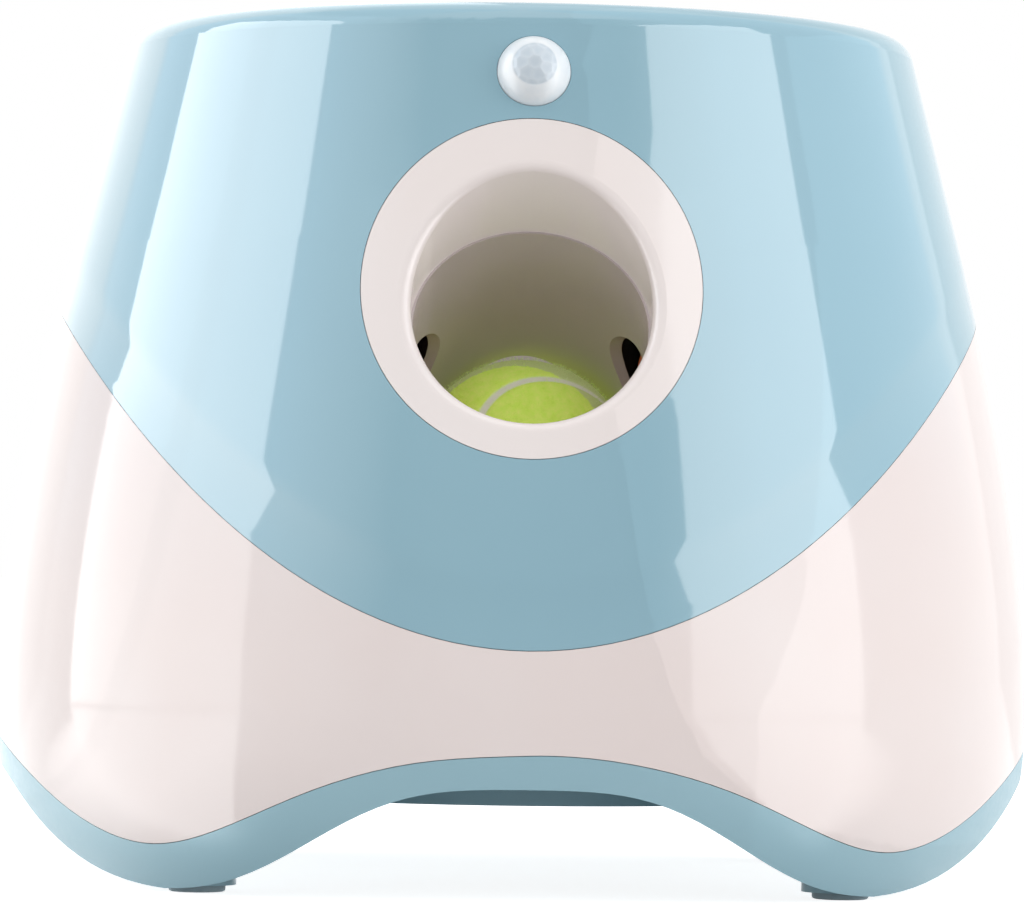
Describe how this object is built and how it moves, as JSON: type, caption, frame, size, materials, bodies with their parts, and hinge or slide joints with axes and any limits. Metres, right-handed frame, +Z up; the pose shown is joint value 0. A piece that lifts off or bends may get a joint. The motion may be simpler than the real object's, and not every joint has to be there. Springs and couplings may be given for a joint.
{
  "type": "automatic dog ball launcher",
  "caption": "Free-standing bell-shaped ball launcher with a hopper bowl on top, a tilted muzzle at the front, spinning launch wheels and a pusher that feeds the ball.",
  "frame": {"origin": "on the floor under the middle of the body", "axes": "+Z up, the muzzle looks along -Y, +X on the right of someone who faces the muzzle"},
  "size_m": [0.304, 0.304, 0.249],
  "materials": {
    "black_abs": "textured",
    "black_rubber": "matt",
    "blue_gloss_abs": "gloss",
    "blue_satin_abs": "satin",
    "bush_brass": "turned",
    "button_silicone": "satin",
    "cell_jacket": "printed film",
    "clear_acrylic": "clear",
    "green_board": "solder mask",
    "grey_nylon": "satin",
    "lens_polyethylene": "translucent satin",
    "motor_steel": "plated",
    "screw_steel": "zinc plated",
    "shaft_steel": "ground",
    "steel_plate": "zinc plated",
    "tennis_felt": "felt",
    "tyre_rubber": "matt",
    "white_acetal": "satin",
    "white_gloss_abs": "gloss"
  },
  "bodies": {
    "housing": {"ball_sensors": "green_board", "barrel_left": "white_gloss_abs", "barrel_right": "white_gloss_abs", "barrel_screws": "screw_steel", "base_tray": "blue_satin_abs", "battery_cells": "cell_jacket", "battery_contacts": "steel_plate", "battery_door": "blue_satin_abs", "battery_door_screw": "screw_steel", "board_parts": "black_abs", "board_screws": "screw_steel", "bracket_screws": "screw_steel", "control_board": "green_board", "control_panel": "white_gloss_abs", "cradle_screws": "screw_steel", "dc_jack": "black_abs", "feeder_gearbox": "black_abs", "feeder_motor": "motor_steel", "guide_screws": "screw_steel", "hopper_funnel": "white_gloss_abs", "housing_screws": "screw_steel", "launch_cradle": "grey_nylon", "lower_shell": "white_gloss_abs", "main_board": "green_board", "motor_bracket_left": "steel_plate", "motor_bracket_right": "steel_plate", "motor_bushes": "bush_brass", "motor_left": "motor_steel", "motor_right": "motor_steel", "motor_screws": "screw_steel", "muzzle_ring": "white_gloss_abs", "pusher_guide": "grey_nylon", "rubber_feet": "black_rubber", "sensor_board": "green_board", "sensor_holder": "black_abs", "sensor_lens": "lens_polyethylene", "shell_screws": "screw_steel", "speaker": "black_abs", "status_lights": "clear_acrylic", "upper_shell": "blue_gloss_abs"},
    "left_wheel": {"wheel_hub_left": "grey_nylon", "wheel_tyre_left": "tyre_rubber", "motor_shaft_left": "shaft_steel"},
    "right_wheel": {"wheel_hub_right": "grey_nylon", "wheel_tyre_right": "tyre_rubber", "motor_shaft_right": "shaft_steel"},
    "pusher": {"pusher_pad": "grey_nylon", "pusher_rack": "white_acetal", "pusher_screw": "screw_steel"},
    "pinion": {"drive_pinion": "white_acetal", "pinion_shaft": "shaft_steel"},
    "ball": {"tennis_ball": "tennis_felt"},
    "power_key": {"power_button": "button_silicone"},
    "distance_key": {"distance_button": "button_silicone"}
  },
  "joints": [
    {"name": "left_wheel_spin", "type": "hinge", "parent": "housing", "child": "left_wheel", "pos_m": [-0.05805, -0.08704, 0.1365], "axis": [0, 0.5446, 0.8387], "continuous": true},
    {"name": "right_wheel_spin", "type": "hinge", "parent": "housing", "child": "right_wheel", "pos_m": [0.05805, -0.08704, 0.1365], "axis": [0, 0.5446, 0.8387], "continuous": true},
    {"name": "pusher_slide", "type": "slide", "parent": "housing", "child": "pusher", "axis": [0, -0.8387, 0.5446], "range_m": [0, 0.028]},
    {"name": "pinion_turn", "type": "hinge", "parent": "housing", "child": "pinion", "pos_m": [0, -0.00729, 0.1014], "axis": [-1, 0, 0], "range_deg": [0, 161]},
    {"name": "ball_launch", "type": "slide", "parent": "pusher", "child": "ball", "axis": [0, -0.8387, 0.5446], "range_m": [0, 0.15]},
    {"name": "power_press", "type": "slide", "parent": "housing", "child": "power_key", "axis": [0, -0.9777, -0.2099], "range_m": [0, 0.0012], "stiffness_N_per_m": 400},
    {"name": "distance_press", "type": "slide", "parent": "housing", "child": "distance_key", "axis": [0, -0.9777, -0.2099], "range_m": [0, 0.0012], "stiffness_N_per_m": 400}
  ],
  "couplings": [
    {"joint": "right_wheel_spin", "follows": "left_wheel_spin", "ratio": -1},
    {"joint": "pinion_turn", "follows": "pusher_slide", "rad_per_m": 100}
  ]
}
